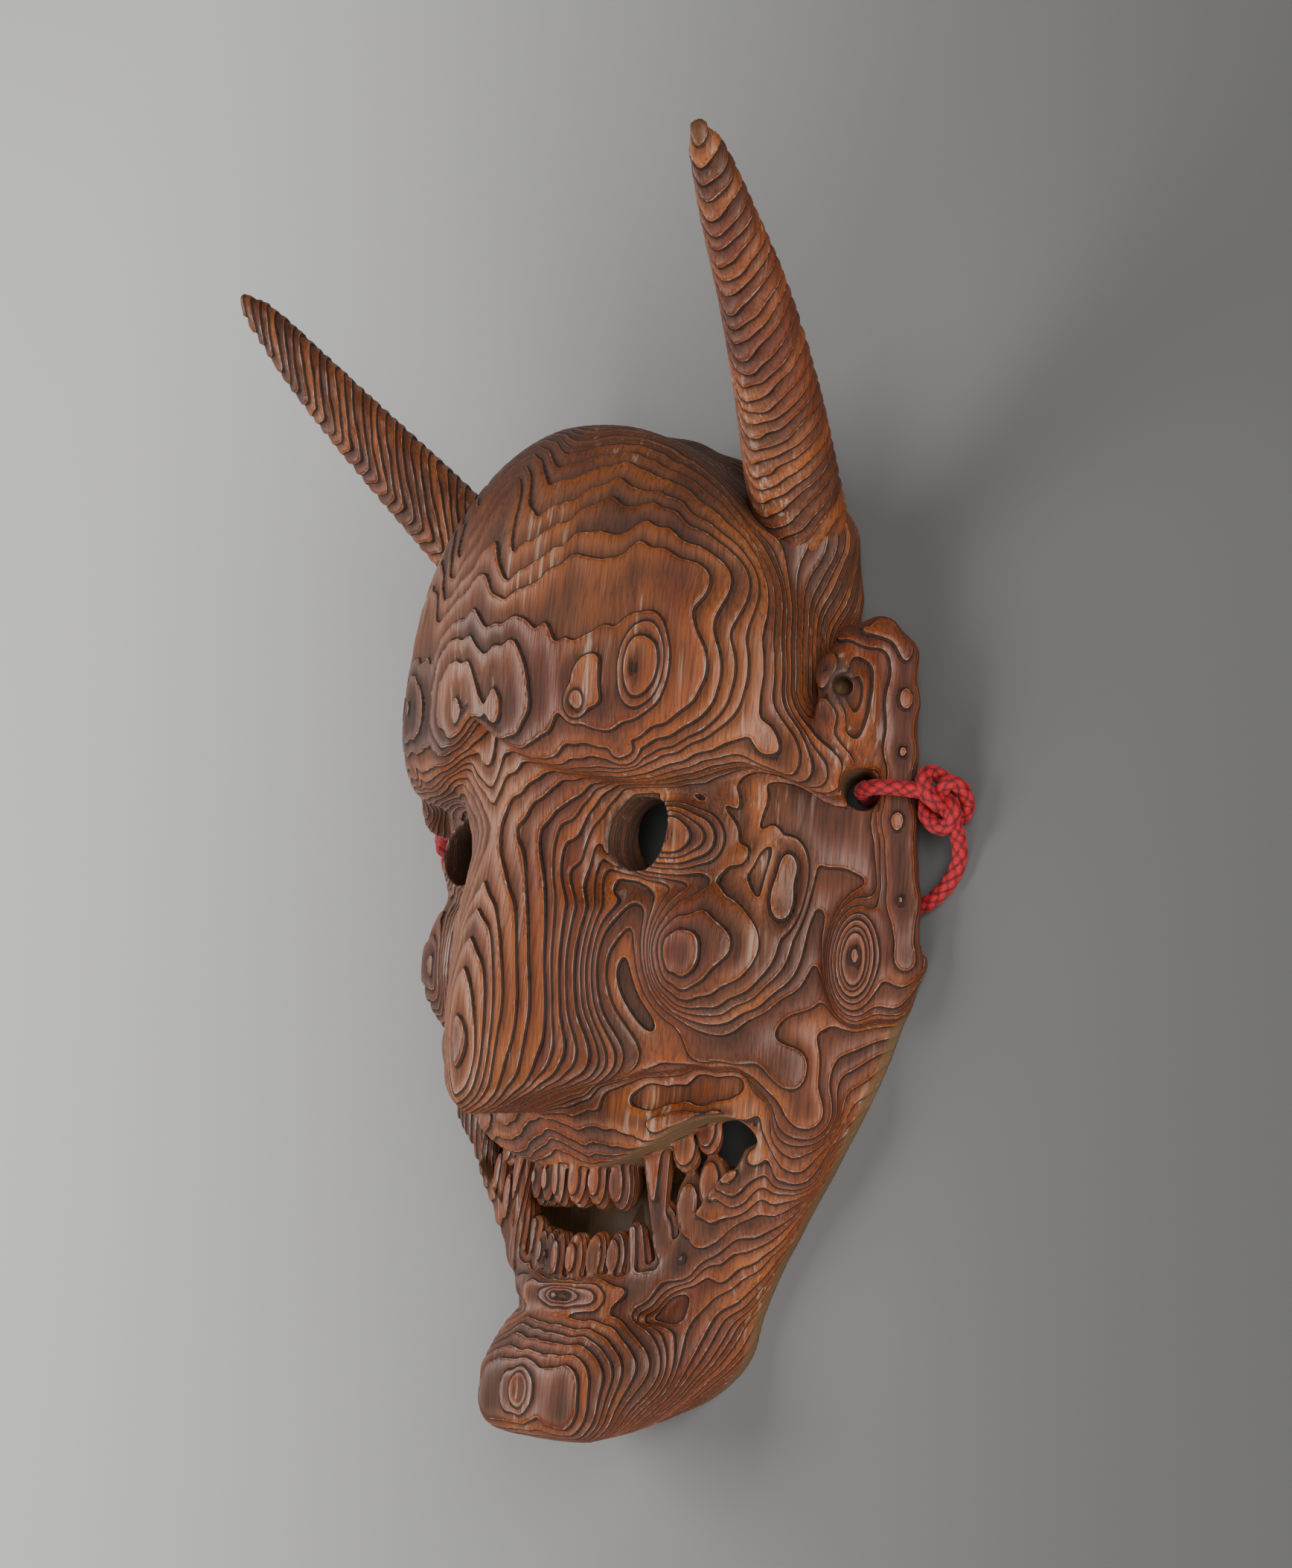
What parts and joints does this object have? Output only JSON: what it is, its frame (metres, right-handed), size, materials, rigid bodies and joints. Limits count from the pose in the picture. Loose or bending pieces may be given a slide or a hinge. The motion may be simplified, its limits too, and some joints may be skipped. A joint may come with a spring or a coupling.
{
  "type": "carved wooden mask",
  "caption": "Horned demon mask carved from cedar, hollow behind, with bored eyes, an open mouth with teeth and fangs, and a red braided cord tied through the ears.",
  "frame": {"origin": "on the plane that the back rim lies on, under the middle of the carved wood", "axes": "+X across the face towards the ear that is on the viewer's right, +Y up the face from chin to horns, +Z out of the face"},
  "size_m": [0.1831, 0.2608, 0.0866],
  "materials": {
    "cedar": "brushed so that the growth rings stand out, stained red-brown and oiled",
    "cord": "braided, dull with a slight sheen"
  },
  "bodies": {
    "root": {"mask": "cedar", "horn_left": "cedar", "horn_right": "cedar", "cord": "cord", "cord_loop_left": "cord", "cord_loop_right": "cord", "cord_knot_left": "cord", "cord_knot_right": "cord"}
  },
  "joints": []
}
